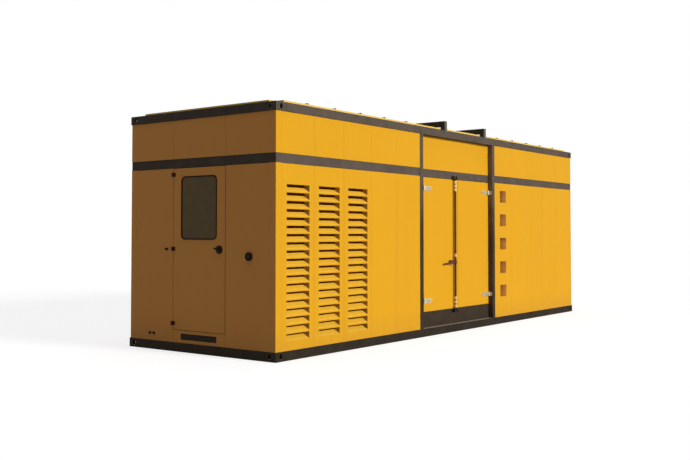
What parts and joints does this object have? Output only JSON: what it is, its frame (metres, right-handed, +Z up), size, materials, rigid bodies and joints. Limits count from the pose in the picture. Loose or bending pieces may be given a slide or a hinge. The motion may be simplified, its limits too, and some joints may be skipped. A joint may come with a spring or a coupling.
{
  "type": "containerised diesel generator set enclosure",
  "caption": "Container-sized walk-in enclosure of a diesel generator set, with louvred intake panels, double side doors on strap hinges, a personnel door in the end and a stepped ladder panel.",
  "frame": {"origin": "on the ground under the middle of the base", "axes": "+X along the length away from the personnel door end, -Y out of the double doors, +Z up"},
  "size_m": [8.221, 2.45, 3.028],
  "materials": {
    "yellow_paint": "semi-gloss coil-coated yellow on folded steel sheet",
    "dark_paint": "satin dark brown-grey on rolled section",
    "galvanised_steel": "zinc plated",
    "maroon_paint": "satin maroon",
    "black_plastic": "moulded",
    "gasket_rubber": "extruded",
    "tinted_glass": "float, tinted"
  },
  "bodies": {
    "enclosure": {"base_rails": "dark_paint", "cross_members": "dark_paint", "floor_plate": "dark_paint", "bottom_fittings": "dark_paint", "top_fittings": "dark_paint", "corner_posts": "yellow_paint", "belt_rail": "dark_paint", "top_rail": "dark_paint", "door_posts": "dark_paint", "hinge_stile": "yellow_paint", "kick_plate": "dark_paint", "doorway_belt": "dark_paint", "doorway_panel": "yellow_paint", "front_louvre_panels": "yellow_paint", "front_plain_panels": "yellow_paint", "ladder_panel": "yellow_paint", "front_upper_panels": "yellow_paint", "rear_louvre_panels": "yellow_paint", "rear_plain_panels": "yellow_paint", "rear_upper_panels": "yellow_paint", "door_end_panels": "yellow_paint", "door_sill_panel": "yellow_paint", "far_end_panels": "yellow_paint", "end_upper_panels": "yellow_paint", "roof_plate": "yellow_paint", "roof_ribs": "dark_paint", "roof_beams": "dark_paint", "door_hinges_fixed": "galvanised_steel", "lock_keepers": "dark_paint", "personnel_hinges_fixed": "maroon_paint", "door_catch": "dark_paint", "stop_button": "black_plastic", "drain_ports": "dark_paint"},
    "personnel_door": {"personnel_door": "yellow_paint", "window_gasket": "gasket_rubber", "window_glass": "tinted_glass", "personnel_hinges": "maroon_paint", "lock_plate": "black_plastic"},
    "door_lever": {"lock_lever": "black_plastic"},
    "left_leaf": {"left_leaf": "yellow_paint", "left_straps": "galvanised_steel", "rod_guides": "galvanised_steel"},
    "lock_rod": {"lock_rod": "maroon_paint"},
    "right_leaf": {"right_leaf": "yellow_paint", "right_straps": "galvanised_steel"}
  },
  "joints": [
    {"name": "personnel_door_swing", "type": "hinge", "parent": "enclosure", "child": "personnel_door", "pos_m": [-4.105, 0.437, 1.233], "axis": [0, 0, -1], "range_deg": [0, 110]},
    {"name": "door_lever_turn", "type": "hinge", "parent": "personnel_door", "child": "door_lever", "pos_m": [-4.092, -0.344, 1.232], "axis": [-1, 0, 0], "range_deg": [0, 60]},
    {"name": "left_leaf_swing", "type": "hinge", "parent": "enclosure", "child": "left_leaf", "pos_m": [-0.897, -1.157, 1.27], "axis": [0, 0, -1], "range_deg": [0, 105]},
    {"name": "lock_rod_turn", "type": "hinge", "parent": "left_leaf", "child": "lock_rod", "pos_m": [-0.0645, -1.173, 1.27], "axis": [0, 0, 1], "range_deg": [0, 90]},
    {"name": "right_leaf_swing", "type": "hinge", "parent": "enclosure", "child": "right_leaf", "pos_m": [0.995, -1.157, 1.27], "axis": [0, 0, 1], "range_deg": [0, 105]}
  ]
}
